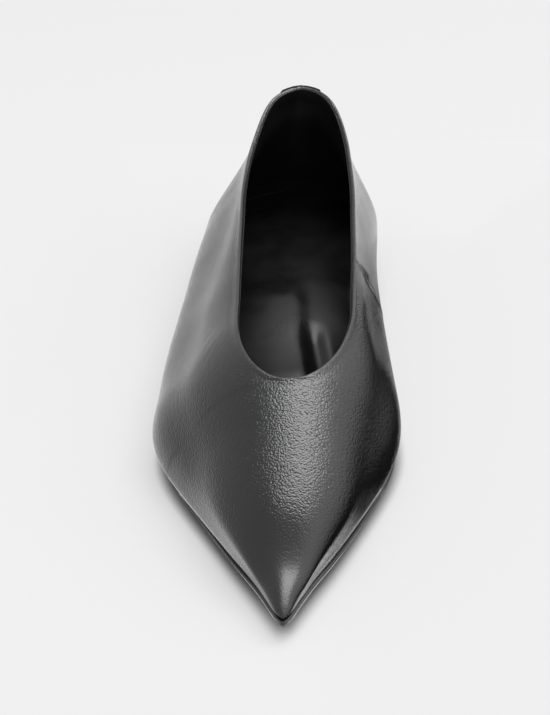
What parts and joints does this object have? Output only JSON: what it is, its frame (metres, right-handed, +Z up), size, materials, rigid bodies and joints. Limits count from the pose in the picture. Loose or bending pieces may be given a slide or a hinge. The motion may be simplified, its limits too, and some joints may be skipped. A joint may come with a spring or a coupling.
{
  "type": "pointed toe flat shoe",
  "caption": "Women's pointed toe flat shoe in leather, high-cut over the instep with a rounded throat opening, thin sole and low stacked heel.",
  "frame": {"origin": "on the floor under the middle of the heel, on the underside of the top piece", "axes": "-Y from the heel to the toe tip, +X to the big-toe side of this right shoe, +Z up"},
  "size_m": [0.0853, 0.2716, 0.0635],
  "materials": {
    "upper_leather": "fine-grain, semi-gloss",
    "lining_leather": "smooth, matte",
    "insole_leather": "smooth, satin",
    "sole": "smooth, dyed, satin",
    "top_piece_rubber": "matte"
  },
  "bodies": {
    "root": {"upper": "upper_leather", "outsole": "sole", "heel": "sole", "top_piece": "top_piece_rubber", "insole": "insole_leather", "heel_grip": "lining_leather", "back_tab": "upper_leather"}
  },
  "joints": []
}
